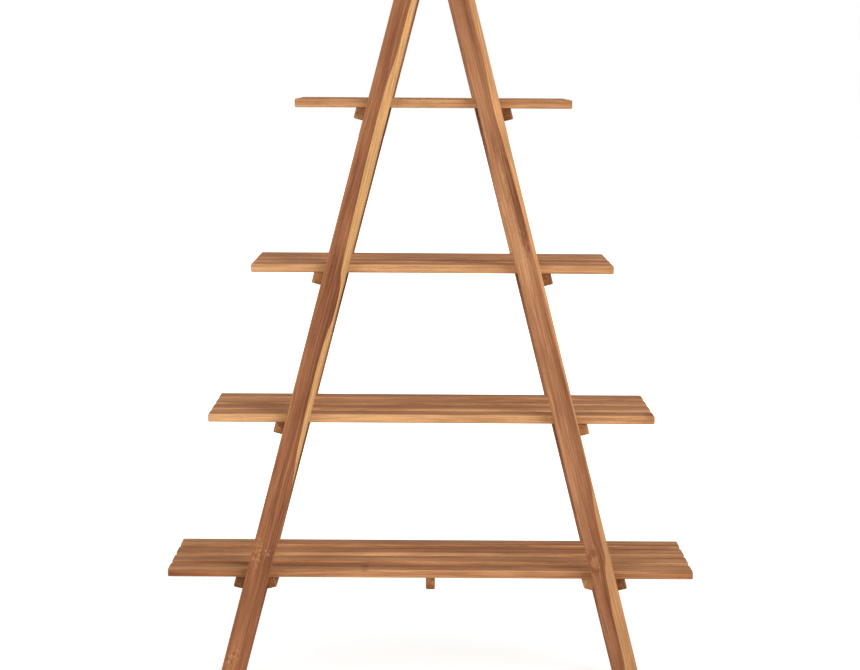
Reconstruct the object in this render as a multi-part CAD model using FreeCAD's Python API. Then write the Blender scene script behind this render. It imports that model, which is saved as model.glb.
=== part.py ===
import FreeCAD, Part
import math
import os

# Slatted A-frame bookcase: two ladder sides lean together and meet at the top,
# and four loose slatted shelves sit on their rungs.
# Millimetres, +Z up, +X to the right, front towards -Y, origin on the floor midway between the feet.

# Frame
frame_height = 1880.0
foot_spread = 1012.5           # across the outer edges of the feet
frame_top_width = 54.0         # flat across both leg tops
leg_width = 51.0               # square across the leg, seen from the front
leg_depth = 36.0               # front to back
leg_edge_radius = 2.5

# Shelves, heights from the floor to the slat tops
bottom_shelf_height = 350.0
lower_shelf_height = 708.0
upper_shelf_height = 1049.0
top_shelf_height = 1418.0
bottom_shelf_width = 1200.0
lower_shelf_width = 1012.0
upper_shelf_width = 816.0
top_shelf_width = 618.0
shelf_leg_clearance = 3.0      # between a shelf and the legs before and behind it

# Slats
slat_count = 4
slat_width = 58.0
slat_gap = 30.0
slat_thickness = 19.0
slat_edge_radius = 3.0

# Cleats under the slats
cleat_thickness = 22.0
cleat_depth = 30.0             # along the side that faces the rung
outer_cleat_clearance = 2.0    # between a cleat and the outer face of the rung
inner_cleat_clearance = 1.0    # between an inner cleat and the inner face of the rung
cleat_end_inset = 6.0          # back from the front and rear edges of the shelf
cleat_edge_radius = 3.0
batten_width = 21.0            # upright batten in the middle of the bottom shelf
batten_depth = 28.0

# Rungs, hidden between the legs
rung_height = 38.0
rung_outer_shoulder = 2.0      # set back from the outer face of the leg
rung_inner_shoulder = 11.0     # set back from the inner face of the leg
rung_edge_radius = 2.0
tenon_width = 16.0             # square across the leg
tenon_height = 26.0            # along the leg
tenon_length = 22.0
peg_diameter = 8.0
peg_end_cover = 8.0            # wood left between the blind end of a peg and the inner face
glue_gap = 0.15                # around tenons, pegs, dowels and bolts

# Screws, driven up through the cleats
screw_diameter = 4.0
screw_head_diameter = 8.0
screw_head_height = 2.6
screw_head_recess = 9.0        # from the bottom of the cleat up to the seat of the head
screw_tip_cover = 6.0          # wood left above the tip
screw_drive_width = 3.0        # across the flats of the hexagon
screw_drive_depth = 1.6
screw_pocket_gap = 0.6         # round the head

# Joint at the top of the frame
dowel_diameter = 10.0
dowel_length = 40.0
bolt_diameter = 6.0
bolt_head_diameter = 17.0
bolt_head_height = 3.0
bolt_pocket_depth = 8.0        # seat of the head below the outer face, on the bolt axis
bolt_pocket_gap = 1.5          # round the head
sleeve_diameter = 9.0
sleeve_end_gap = 8.0           # between the end of the sleeve nut and the mitre
sleeve_floor = 4.0             # solid end of the sleeve nut behind the bolt
hex_key_width = 4.0
hex_key_depth = 2.0

# Sizes that follow from the ones above
lean_slope = (foot_spread - frame_top_width) / 2 / frame_height
lean = math.atan(lean_slope)
slat_pitch = slat_width + slat_gap
shelf_depth = slat_count * slat_width + (slat_count - 1) * slat_gap
leg_inner_y = shelf_depth / 2 + shelf_leg_clearance
leg_middle_y = leg_inner_y + leg_depth / 2
crotch_height = (foot_spread / 2 - leg_width / math.cos(lean)) / lean_slope
mitre_middle = (crotch_height + frame_height) / 2
mitre_quarter = (frame_height - crotch_height) / 4
cleat_length = shelf_depth - 2 * cleat_end_inset
rung_width = leg_width - rung_outer_shoulder - rung_inner_shoulder
rung_middle_inset = rung_outer_shoulder + rung_width / 2

LEFT = -1
RIGHT = 1
FRONT = -1
REAR = 1
SIDES = {"left": LEFT, "right": RIGHT}
ENDS = {"front": FRONT, "rear": REAR}
SHELF_WIDTHS = {"bottom": bottom_shelf_width, "lower": lower_shelf_width,
                "upper": upper_shelf_width, "top": top_shelf_width}
SHELF_HEIGHTS = {"bottom": bottom_shelf_height, "lower": lower_shelf_height,
                 "upper": upper_shelf_height, "top": top_shelf_height}
Y_AXIS = FreeCAD.Vector(0, 1, 0)
UP = FreeCAD.Vector(0, 0, 1)
HEXAGON_SIDES = 6
PARALLEL = 0.999               # least cosine between directions that count as the same


def slat_underside(height):
    """Height of the face that rests on the rungs."""
    return height - slat_thickness


def down_the_leg(side):
    """Unit vector down along a leg of one ladder."""
    return FreeCAD.Vector(side * math.sin(lean), 0, -math.cos(lean))


def out_of_the_leg(side):
    """Unit vector square out of the outer face of one ladder."""
    return FreeCAD.Vector(side * math.cos(lean), 0, math.sin(lean))


def on_leg(side, inset, height):
    """Point at a height, set in square from the outer face of one ladder."""
    x = foot_spread / 2 - height * lean_slope - inset / math.cos(lean)
    return FreeCAD.Vector(side * x, 0, height)


def prism(outline, y_start, length):
    """Solid with an outline in the X-Z plane, extruded along +Y."""
    corners = [FreeCAD.Vector(point.x, y_start, point.z) for point in outline]
    wire = Part.makePolygon(corners + corners[:1])
    return Part.Face(wire).extrude(Y_AXIS * length)


def rod(start, direction, diameter, length):
    """Round bar from a point along a direction."""
    return Part.makeCylinder(diameter / 2, length, start, direction)


def hexagon_bar(start, direction, across_flats, length):
    """Hexagonal bar from a point along a direction."""
    corner_radius = across_flats / 2 / math.cos(math.pi / HEXAGON_SIDES)
    turns = [2 * math.pi * corner / HEXAGON_SIDES for corner in range(HEXAGON_SIDES)]
    ring = [FreeCAD.Vector(math.cos(turn), math.sin(turn), 0) * corner_radius for turn in turns]
    bar = Part.Face(Part.makePolygon(ring + ring[:1])).extrude(UP * length)
    bar.Placement = FreeCAD.Placement(start, FreeCAD.Rotation(UP, direction))
    return bar


def edges_along(shape, direction):
    """Straight edges that run along a direction."""
    chosen = []
    for edge in shape.Edges:
        first, last = (vertex.Point for vertex in edge.Vertexes)
        run = (last - first).normalize()
        if abs(run.dot(direction)) > PARALLEL:
            chosen.append(edge)
    return chosen


def edges_off_mitre(shape):
    """Edges that don't lie in the plane where the two ladders meet."""
    return [edge for edge in shape.Edges if abs(edge.CenterOfMass.x) > leg_edge_radius]


def rung_middle(side, height):
    """Middle of a rung's section, seen from the front."""
    return on_leg(side, rung_middle_inset, slat_underside(height) - rung_height / 2)


def tenon_block(side, end, height, growth):
    """Tenon of a rung, or with growth the mortise that takes it."""
    middle = rung_middle(side, height)
    down = down_the_leg(side) * (tenon_height / 2 + growth)
    out = out_of_the_leg(side) * (tenon_width / 2 + growth)
    outline = [middle + down + out, middle + down - out, middle - down - out, middle - down + out]
    length = tenon_length + growth
    y_start = leg_inner_y if end == REAR else -leg_inner_y - length
    return prism(outline, y_start, length)


def peg(side, end, height, growth):
    """Peg through a tenon, or with growth the hole for it."""
    outward = out_of_the_leg(side)
    start = rung_middle(side, height) + outward * rung_middle_inset
    start.y = end * (leg_inner_y + tenon_length / 2)
    return rod(start, outward * -1, peg_diameter + 2 * growth, leg_width - peg_end_cover + growth)


def apex_dowels(end, growth):
    """The two dowels of one mitre, or with growth their holes."""
    length = dowel_length + 2 * growth
    dowels = []
    for offset in (-mitre_quarter, mitre_quarter):
        start = FreeCAD.Vector(-length / 2, end * leg_middle_y, mitre_middle + offset)
        dowels.append(rod(start, FreeCAD.Vector(1, 0, 0), dowel_diameter + 2 * growth, length))
    return dowels


def bolt_seat(side, end):
    """Point on the bolt axis where a head sits in its pocket."""
    seat = on_leg(side, 0, mitre_middle)
    seat.x -= side * bolt_pocket_depth
    seat.y = end * leg_middle_y
    return seat


def apex_hole(side, end):
    """Pocket and hole in one leg for the bolt, or on the right for the sleeve nut."""
    seat = bolt_seat(side, end)
    outward = FreeCAD.Vector(side, 0, 0)
    pocket = rod(seat, outward, bolt_head_diameter + 2 * bolt_pocket_gap, leg_width)
    shank = bolt_diameter if side == LEFT else sleeve_diameter
    return pocket.fuse(rod(seat, outward * -1, shank + 2 * glue_gap, abs(seat.x)))


def bolt_head(seat, outward):
    """Flat round head with a hexagon socket."""
    head = rod(seat, outward, bolt_head_diameter, bolt_head_height)
    socket_floor = seat + outward * (bolt_head_height - hex_key_depth)
    return head.cut(hexagon_bar(socket_floor, outward, hex_key_width, hex_key_depth))


def apex_bolt(end):
    """Connector bolt from the left leg across the mitre into the sleeve nut."""
    seat = bolt_seat(LEFT, end)
    length = bolt_seat(RIGHT, end).x - seat.x - sleeve_floor
    shank = rod(seat, FreeCAD.Vector(RIGHT, 0, 0), bolt_diameter, length)
    return shank.fuse(bolt_head(seat, FreeCAD.Vector(LEFT, 0, 0))).removeSplitter()


def apex_sleeve_nut(end):
    """Sleeve nut in the right leg, bored for the end of the bolt."""
    seat = bolt_seat(RIGHT, end)
    inward = FreeCAD.Vector(LEFT, 0, 0)
    sleeve = rod(seat, inward, sleeve_diameter, seat.x - sleeve_end_gap)
    bore_start = seat + inward * (sleeve_floor - glue_gap)
    bore = rod(bore_start, inward, bolt_diameter + 2 * glue_gap, seat.x)
    return sleeve.fuse(bolt_head(seat, inward * -1)).removeSplitter().cut(bore)


def leg(side, end):
    """Leaning leg with its mortises, peg holes and half of the mitre."""
    outer_foot = on_leg(side, 0, 0)
    outer_top = on_leg(side, 0, frame_height)
    mitre_top = FreeCAD.Vector(0, 0, frame_height)
    crotch = FreeCAD.Vector(0, 0, crotch_height)
    inner_foot = on_leg(side, leg_width, 0)
    y_start = leg_inner_y if end == REAR else -leg_inner_y - leg_depth
    bar = prism([outer_foot, outer_top, mitre_top, crotch, inner_foot], y_start, leg_depth)
    bar = bar.makeFillet(leg_edge_radius, edges_off_mitre(bar))
    cuts = apex_dowels(end, glue_gap)
    cuts.append(apex_hole(side, end))
    for height in SHELF_HEIGHTS.values():
        cuts.append(tenon_block(side, end, height, glue_gap))
        cuts.append(peg(side, end, height, glue_gap))
    return bar.cut(cuts)


def rung(side, height):
    """Bar under a shelf from the front leg to the rear leg, with a tenon at each end."""
    top = slat_underside(height)
    bottom = top - rung_height
    outer = rung_outer_shoulder
    inner = rung_outer_shoulder + rung_width
    outline = [on_leg(side, outer, top), on_leg(side, outer, bottom),
               on_leg(side, inner, bottom), on_leg(side, inner, top)]
    bar = prism(outline, -leg_inner_y, 2 * leg_inner_y)
    bar = bar.makeFillet(rung_edge_radius, edges_along(bar, Y_AXIS))
    bar = bar.fuse([tenon_block(side, end, height, 0) for end in ENDS.values()])
    return bar.cut([peg(side, end, height, glue_gap) for end in ENDS.values()])


def slat_middles():
    """Distance of each slat's middle line from the middle of the shelf, front to rear."""
    first = -(shelf_depth - slat_width) / 2
    return [first + number * slat_pitch for number in range(slat_count)]


def outer_cleat_outline(side, height):
    """Cleat outside a rung, parallel to the legs, with its top against the slats."""
    top = slat_underside(height)
    inset = rung_outer_shoulder - outer_cleat_clearance
    inner_top = on_leg(side, inset, top)
    outer_top = on_leg(side, inset - cleat_thickness, top)
    inner_bottom = inner_top + down_the_leg(side) * cleat_depth
    outer_bottom = inner_bottom + out_of_the_leg(side) * cleat_thickness
    return [inner_top, outer_top, outer_bottom, inner_bottom]


def inner_cleat_outline(side, height):
    """Cleat inside a rung, tilted the other way, so that the pair opens downwards."""
    top = slat_underside(height)
    rung_face = rung_outer_shoulder + rung_width
    outer_top = on_leg(side, rung_face + inner_cleat_clearance, top)
    down = down_the_leg(-side)
    inward = out_of_the_leg(-side)
    inner_top = FreeCAD.Vector(outer_top.x - side * cleat_thickness / math.cos(lean), 0, top)
    outer_bottom = outer_top + down * cleat_depth
    inner_bottom = outer_bottom + inward * cleat_thickness
    return [outer_top, inner_top, inner_bottom, outer_bottom]


def batten_outline(height):
    """Upright batten on the middle line."""
    top = slat_underside(height)
    half = batten_width / 2
    return [FreeCAD.Vector(x, 0, z) for x, z in
            ((-half, top), (half, top), (half, top - batten_depth), (-half, top - batten_depth))]


def middle_and_depth(outline):
    """Screw line of a cleat: its X, and how far the cleat reaches below the slats there."""
    first_top, last_top, first_low, last_low = outline
    x = (first_top.x + last_top.x + first_low.x + last_low.x) / 4
    share = (x - first_low.x) / (last_low.x - first_low.x)
    return x, first_top.z - (first_low.z + share * (last_low.z - first_low.z))


def screw_places(outline, height):
    """Seat of the head of each screw in one cleat, and the length of its shank."""
    x, depth = middle_and_depth(outline)
    seat_depth = depth - screw_head_recess
    seat_height = slat_underside(height) - seat_depth
    length = seat_depth + slat_thickness - screw_tip_cover
    return [(FreeCAD.Vector(x, y, seat_height), length) for y in slat_middles()]


def screw(seat, length):
    """Pan head screw that points up, with a hexagon drive."""
    head_floor = seat - UP * screw_head_height
    body = rod(head_floor, UP, screw_head_diameter, screw_head_height)
    body = body.fuse(rod(seat, UP, screw_diameter, length)).removeSplitter()
    return body.cut(hexagon_bar(head_floor, UP, screw_drive_width, screw_drive_depth))


def screw_hole(seat, length):
    """Hole for the shank and the pocket below it for the head."""
    pocket = rod(seat, UP * -1, screw_head_diameter + 2 * screw_pocket_gap, 2 * cleat_depth)
    return pocket.fuse(rod(seat, UP, screw_diameter + 2 * glue_gap, length + glue_gap))


def slat(width, height, y):
    """One slat with eased edges."""
    corner = FreeCAD.Vector(-width / 2, y - slat_width / 2, slat_underside(height))
    board = Part.makeBox(width, slat_width, slat_thickness, corner)
    return board.makeFillet(slat_edge_radius, board.Edges)


def cleat(outline):
    """Cleat with every edge eased but those against the slats."""
    bar = prism(outline, -cleat_length / 2, cleat_length)
    seat = outline[0].z - cleat_edge_radius
    return bar.makeFillet(cleat_edge_radius, [edge for edge in bar.Edges if edge.CenterOfMass.z < seat])


def cleat_outlines(shelf, height):
    """Outline of every cleat of one shelf, by name."""
    outlines = {side + "_cleat": outer_cleat_outline(sign, height) for side, sign in SIDES.items()}
    if shelf == "bottom":
        for side, sign in SIDES.items():
            outlines[side + "_inner_cleat"] = inner_cleat_outline(sign, height)
        outlines["centre_batten"] = batten_outline(height)
    return outlines


def shelf_pieces(shelf):
    """Slats, cleats and screws of one shelf, by name."""
    height = SHELF_HEIGHTS[shelf]
    outlines = cleat_outlines(shelf, height)
    places = {name: screw_places(outline, height) for name, outline in outlines.items()}
    pieces = {}
    for number, y in enumerate(slat_middles()):
        holes = [screw_hole(*row[number]) for row in places.values()]
        pieces["slat_%d" % (number + 1)] = slat(SHELF_WIDTHS[shelf], height, y).cut(holes)
    for name, outline in outlines.items():
        pieces[name] = cleat(outline).cut([screw_hole(*place) for place in places[name]])
    screws = [screw(*place) for row in places.values() for place in row]
    pieces["screws"] = Part.makeCompound(screws)
    return {shelf + "_shelf_" + name: shape for name, shape in pieces.items()}


def frame_pieces():
    """Legs, rungs, pegs and the joint at the top, by name."""
    pieces = {}
    for side, sign in SIDES.items():
        for end, place in ENDS.items():
            pieces["%s_%s_leg" % (end, side)] = leg(sign, place)
        for shelf, height in SHELF_HEIGHTS.items():
            pieces["%s_%s_rung" % (shelf, side)] = rung(sign, height)
        pegs = [peg(sign, place, height, 0) for place in ENDS.values() for height in SHELF_HEIGHTS.values()]
        pieces[side + "_rung_pegs"] = Part.makeCompound(pegs)
    dowels = [dowel for end in ENDS.values() for dowel in apex_dowels(end, 0)]
    pieces["apex_dowels"] = Part.makeCompound(dowels)
    pieces["apex_bolts"] = Part.makeCompound([apex_bolt(end) for end in ENDS.values()])
    pieces["apex_sleeve_nuts"] = Part.makeCompound([apex_sleeve_nut(end) for end in ENDS.values()])
    return pieces


def build():
    """Make every piece and write it to its own file."""
    os.makedirs("parts", exist_ok=True)
    pieces = frame_pieces()
    for shelf in SHELF_HEIGHTS:
        pieces.update(shelf_pieces(shelf))
    for name, shape in pieces.items():
        shape.exportStep(os.path.join("parts", name + ".step"))


build()
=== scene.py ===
"""Looks of a slatted A-frame bookcase in oiled teak, dressed over its packed construction.

Metres throughout, in the construction's own frame: +Z up, +X to the right, the front towards -Y.
"""

import logging
import math
from dataclasses import asdict, dataclass, replace
from enum import Enum
from functools import cache

import bmesh
import bpy
import numpy as np
from mathutils import Matrix, Vector

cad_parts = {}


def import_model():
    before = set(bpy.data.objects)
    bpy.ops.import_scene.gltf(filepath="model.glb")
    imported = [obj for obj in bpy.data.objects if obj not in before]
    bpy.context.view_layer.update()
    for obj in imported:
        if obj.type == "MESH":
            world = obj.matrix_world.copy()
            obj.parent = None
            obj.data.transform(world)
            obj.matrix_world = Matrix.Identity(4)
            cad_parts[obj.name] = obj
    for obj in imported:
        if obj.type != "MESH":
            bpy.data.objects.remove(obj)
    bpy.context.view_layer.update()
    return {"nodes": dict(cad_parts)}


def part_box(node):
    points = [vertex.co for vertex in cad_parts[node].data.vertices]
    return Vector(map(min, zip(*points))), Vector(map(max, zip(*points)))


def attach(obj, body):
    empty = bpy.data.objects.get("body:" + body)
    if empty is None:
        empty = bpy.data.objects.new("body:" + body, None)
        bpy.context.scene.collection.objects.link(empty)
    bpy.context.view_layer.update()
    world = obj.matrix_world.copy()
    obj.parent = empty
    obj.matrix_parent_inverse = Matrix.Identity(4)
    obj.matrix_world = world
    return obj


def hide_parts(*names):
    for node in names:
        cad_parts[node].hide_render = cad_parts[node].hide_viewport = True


log = logging.getLogger("bookcase")

Triple = tuple[float, float, float]
Box = tuple[Vector, Vector]              # lowest and highest corner
Line = tuple[tuple[float, float], ...]   # points of a curve along a board
Tones = Triple                           # of a board at its start, in its middle and at its end

PICTURE_WIDTH = 860                      # pixels
SENSOR_WIDTH = 36.0                      # millimetres
MERGE_DISTANCE = 1e-6
SHARP_ANGLE = math.radians(40)
FULL_TURN = 2 * math.pi
SEED_RANGE = 90.0                        # of the grain of pieces that a node tree makes
ORIGIN = (0.0, 0.0, 0.0)
X_AXIS = (1.0, 0.0, 0.0)
Y_AXIS = (0.0, 1.0, 0.0)
UP = (0.0, 0.0, 1.0)
DOWN = (0.0, 0.0, -1.0)
MEAN_NOISE = (0.5, 0.5, 0.5)


class Side(Enum):
    """A ladder of the frame, by the sign of its X."""

    LEFT = -1
    RIGHT = 1


class End(Enum):
    """The front or the rear of the frame, by the sign of its Y."""

    FRONT = -1
    REAR = 1


class Level(Enum):
    """A shelf, by the word that its pieces start with."""

    BOTTOM = "bottom"
    LOWER = "lower"
    UPPER = "upper"
    TOP = "top"


class Shade(Enum):
    """What darkens the timber: shares of its red, green and blue that are left."""

    MARGIN = (0.70, 0.62, 0.56)          # beside the sapwood
    RING = (0.60, 0.47, 0.38)
    STAIN = (0.52, 0.43, 0.42)
    RIM = (0.52, 0.42, 0.36)             # round a knot
    FLECK = (0.62, 0.54, 0.50)           # in a burl
    END = (0.62, 0.55, 0.48)             # on end grain


class MarkKind(Enum):
    """What a mark in the timber looks like."""

    KNOT = "pale heart with a dark rim"
    BURL = "cluster of pale specks"
    STAIN = "dark streak"
    GOLD = "streak of sapwood"


@dataclass(frozen=True)
class Tint:
    """A colour as a screen shows it, each part from 0 to 255."""

    red: int
    green: int
    blue: int

    def linear(self) -> tuple[float, float, float, float]:
        """Colour as light.

        Returns:
            Red, green and blue from 0 to 1, with full alpha.
        """
        shares = [part / 255 for part in (self.red, self.green, self.blue)]
        light = [s / 12.92 if s <= 0.04045 else ((s + 0.055) / 1.055) ** 2.4 for s in shares]
        return (*light, 1.0)


class Field:
    """An output of a node. Arithmetic on it adds a node to its tree and gives that node's output."""

    def __init__(self, graph: "Graph", socket: bpy.types.NodeSocket) -> None:
        """Hold an output in a graph."""
        self.graph = graph
        self.socket = socket

    def _joined(self, operation: str, first: "Value", second: "Value") -> "Field":
        """Result of a Vector Math node for a vector or colour, or else of a Math node."""
        join = self.graph.vector if self.socket.type in ("VECTOR", "RGBA") else self.graph.math
        return join(operation, first, second)

    def __add__(self, other: "Value") -> "Field":
        """Sum."""
        return self._joined("ADD", self, other)

    def __sub__(self, other: "Value") -> "Field":
        """Difference."""
        return self._joined("SUBTRACT", self, other)

    def __rsub__(self, other: "Value") -> "Field":
        """Difference from another value."""
        return self._joined("SUBTRACT", other, self)

    def __mul__(self, other: "Value") -> "Field":
        """Product, part by part."""
        return self._joined("MULTIPLY", self, other)

    def __truediv__(self, other: "Value") -> "Field":
        """Quotient, part by part."""
        return self._joined("DIVIDE", self, other)

    __radd__ = __add__
    __rmul__ = __mul__


Value = float | int | str | bool | tuple[float, ...] | Field
Feeds = dict[str | int, Value]           # what a node's inputs get, by name or number

INPUT_KINDS = {tuple: "NodeSocketVector", float: "NodeSocketFloat", int: "NodeSocketInt"}
OUTPUT_KINDS = {"VECTOR": "NodeSocketVector", "VALUE": "NodeSocketFloat", "GEOMETRY": "NodeSocketGeometry"}


class Graph:
    """One node tree, with short calls that add a node and give its output.

    A value is a plain one, which is set on the socket, or a field, which is linked to it.
    """

    def __init__(self, tree: bpy.types.NodeTree) -> None:
        """Start on the tree of a material, world, shader group or geometry modifier."""
        self.tree = tree

    def feed(self, socket: bpy.types.NodeSocket, value: Value) -> None:
        """Set a socket, or link a field to it.

        Args:
            socket: Input of a node.
            value: What it gets.
        """
        if isinstance(value, Field):
            self.tree.links.new(value.socket, socket)
        else:
            socket.default_value = value

    def node(self, kind: str, feeds: Feeds | None = None, **settings: object) -> bpy.types.Node:
        """Add a node.

        Args:
            kind: Type of the node.
            feeds: Value of each input, by name or number.
            settings: Properties of the node, set before its inputs.

        Returns:
            The new node.
        """
        node = self.tree.nodes.new(kind)
        for name, setting in settings.items():
            setattr(node, name, setting)
        for name, value in (feeds or {}).items():
            self.feed(node.inputs[name], value)
        return node

    def add(self, kind: str, feeds: Feeds | None = None, output: str | int = 0, **settings: object) -> Field:
        """One output of a new node."""
        return Field(self, self.node(kind, feeds, **settings).outputs[output])

    def outputs(self, kind: str, feeds: Feeds | None = None, **settings: object) -> dict[str, Field]:
        """All outputs of a new node, by name."""
        sockets = self.node(kind, feeds, **settings).outputs
        return {name: Field(self, socket) for name, socket in sockets.items()}

    def math(self, operation: str, first: Value, second: Value = 0.0) -> Field:
        """Result of a Math node."""
        return self.add("ShaderNodeMath", {0: first, 1: second}, operation=operation)

    def vector(self, operation: str, first: Value, second: Value = ORIGIN, output: str = "Vector") -> Field:
        """Result of a Vector Math node."""
        return self.add("ShaderNodeVectorMath", {0: first, 1: second}, output, operation=operation)

    def scaled(self, vector: Value, scale: Value) -> Field:
        """Vector or colour times a number."""
        return self.add("ShaderNodeVectorMath", {0: vector, "Scale": scale}, operation="SCALE")

    def length(self, vector: Value) -> Field:
        """Length of a vector."""
        return self.vector("LENGTH", vector, output="Value")

    def split(self, vector: Value) -> list[Field]:
        """The three parts of a vector."""
        return list(self.outputs("ShaderNodeSeparateXYZ", {0: vector}).values())

    def join(self, x: Value, y: Value, z: Value) -> Field:
        """Vector of three parts."""
        return self.add("ShaderNodeCombineXYZ", {0: x, 1: y, 2: z})

    def ramp(self, value: Value, low: Value, high: Value, start: Value = 0.0, end: Value = 1.0) -> Field:
        """Smooth step from start to end while the value goes from low to high."""
        feeds = {0: value, 1: low, 2: high, 3: start, 4: end}
        return self.add("ShaderNodeMapRange", feeds, interpolation_type="SMOOTHSTEP")

    def mix(self, factor: Value, first: Value, second: Value, blend: str = "MIX") -> Field:
        """Mix of two colours."""
        feeds = {0: factor, 6: first, 7: second}
        return self.add("ShaderNodeMix", feeds, 2, data_type="RGBA", blend_type=blend)

    def shaded(self, colour: Value, mask: Field, strength: float, shade: Shade) -> Field:
        """Colour that is darker where a mask says so."""
        return self.mix(mask * strength, colour, (*shade.value, 1.0), "MULTIPLY")

    def noise(self, vector: Value, seed: Value, detail: float, output: str = "Fac") -> Field:
        """Noise with cells of about one unit."""
        feeds = {"Vector": vector, "W": seed, "Scale": 1.0, "Detail": detail, "Roughness": 0.5}
        return self.add("ShaderNodeTexNoise", feeds, output, noise_dimensions="4D")

    def cells(self, vector: Field, counts: Triple, seed: Value, detail: float) -> Field:
        """Noise with so many cells to the metre along each axis."""
        return self.noise(vector * counts, seed, detail)

    def curve(self, value: Value, points: Line) -> Field:
        """Smooth curve through points.

        Args:
            value: Place on the curve.
            points: Places and heights, which go from 0 to 1.

        Returns:
            The height.
        """
        node = self.node("ShaderNodeFloatCurve", {"Value": value})
        line = node.mapping.curves[0]
        line.points[0].location, line.points[1].location = points[0], points[-1]
        for point in points[1:-1]:
            line.points.new(*point)
        node.mapping.update()
        return Field(self, node.outputs[0])

    def attribute(self, name: str, output: str = "Vector") -> Field:
        """Attribute that the mesh carries."""
        return self.add("ShaderNodeAttribute", output=output, attribute_name=name)

    def group(self, group: bpy.types.NodeTree, feeds: Feeds) -> dict[str, Field]:
        """Outputs by name of a shared effect, placed with its own values."""
        return self.outputs("ShaderNodeGroup", feeds, node_tree=group)

    def normal(self) -> Field:
        """Way that the bare face points."""
        return self.add("ShaderNodeNewGeometry", output="True Normal")

    def seen(self) -> Field:
        """Whether the camera sees a surface, by itself or in or through another one.

        Returns:
            One if it does, or else zero.
        """
        rays = self.outputs("ShaderNodeLightPath")
        indirect = self.math("MAXIMUM", rays["Is Glossy Ray"], rays["Is Transmission Ray"])
        return self.math("MAXIMUM", rays["Is Camera Ray"], indirect)


class Group(Graph):
    """A node group, with its inputs by name."""

    def __init__(self, kind: str, name: str, inputs: dict[str, Value]) -> None:
        """Start a group.

        Args:
            kind: Type of its tree.
            name: Name of the group.
            inputs: Default of each named input, or the type of its socket.
        """
        super().__init__(bpy.data.node_groups.new(name, kind))
        for label, value in inputs.items():
            bare = isinstance(value, str)
            socket_type = value if bare else INPUT_KINDS[type(value)]
            socket = self.tree.interface.new_socket(label, in_out="INPUT", socket_type=socket_type)
            if not bare:
                socket.default_value = value
        self.given = self.outputs("NodeGroupInput")

    def put_out(self, results: dict[str, Field]) -> bpy.types.NodeTree:
        """Close the group.

        Args:
            results: What it puts out, by name.

        Returns:
            The finished tree.
        """
        for name, field in results.items():
            kind = OUTPUT_KINDS[field.socket.type]
            self.tree.interface.new_socket(name, in_out="OUTPUT", socket_type=kind)
        self.node("NodeGroupOutput", results)
        return self.tree


def begin_material(name: str) -> tuple[bpy.types.Material, Graph]:
    """Start a material.

    Args:
        name: Name of the material.

    Returns:
        The empty material and its graph.
    """
    material = bpy.data.materials.new(name)
    material.use_nodes = True
    material.node_tree.nodes.clear()
    return material, Graph(material.node_tree)


NO_SAPWOOD = 9.0                         # place of the edge of sapwood, far outside a board that has none
SAPWOOD_REACH = 1.06                     # widths of the board that a full share of sapwood covers


@cache
def figure_effect() -> bpy.types.NodeTree:
    """Growth rings, sapwood, streaks, fibres and pores of a board sawn from a log.

    The pith of the log runs along the board or beside it. All is worked out in the board's own coordinates,
    so that faces, edges and ends show the same timber.

    Returns:
        The node group.
    """
    graph = Group("ShaderNodeTree", "teak_figure", {
        "Board": ORIGIN, "Seed": 0.0, "Pith Across": 0.0, "Pith Depth": -0.05, "Pith Spread": 0.0,
        "Ring Width": 0.0045, "Sapwood Edge": NO_SAPWOOD, "Margin Width": 0.013})
    given, seed = graph.given, graph.given["Seed"]
    wander = graph.noise(given["Board"] * (3.0, 14.0, 14.0), seed, 2.0, "Color") - MEAN_NOISE
    board = given["Board"] + wander * (0.0, 0.014, 0.014)
    along, across, depth = graph.split(board)
    luck = graph.add("ShaderNodeTexWhiteNoise", {"W": seed}, "Color", noise_dimensions="1D")
    spread = graph.split(graph.scaled(luck - MEAN_NOISE, given["Pith Spread"]))
    pith_across = given["Pith Across"] + spread[0] + along * spread[2] * 0.6
    pith_depth = given["Pith Depth"] + spread[1]
    radius = graph.length(graph.join(across - pith_across, depth - pith_depth, 0.0))
    uneven = graph.noise(graph.join(radius * 60.0, 0.0, 0.0), seed, 1.0)
    year = graph.math("FRACT", radius / given["Ring Width"] + uneven * 2.5)
    late = graph.ramp(year, 0.30, 0.90) * graph.ramp(year, 0.90, 1.0, 1.0, 0.0)
    calm = graph.split(given["Board"] + wander * (0.0, 0.004, 0.004))
    past_edge = calm[1] + calm[2] * 0.15 - given["Sapwood Edge"]
    broad = graph.cells(board, (1.5, 52.0, 52.0), seed, 3.0)
    narrow = graph.cells(board, (3.2, 170.0, 170.0), seed, 2.0)
    grains = graph.cells(board, (120.0, 2400.0, 2400.0), seed, 1.0)
    return graph.put_out({
        "Rings": late,
        "Sapwood": graph.ramp(past_edge, -0.0011, 0.0011),
        "Margin": graph.ramp(past_edge, given["Margin Width"] * -1.0, -0.0005),
        "Streak": broad * 0.60 + narrow * 0.40,
        "Cloud": graph.cells(board, (5.0, 22.0, 22.0), seed, 3.0),
        "Fibre": graph.cells(board, (14.0, 440.0, 440.0), seed, 4.0),
        "Pores": graph.ramp(grains, 0.60, 0.70) * graph.ramp(late, 0.0, 1.0, 1.0, 0.35),
    })


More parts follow.
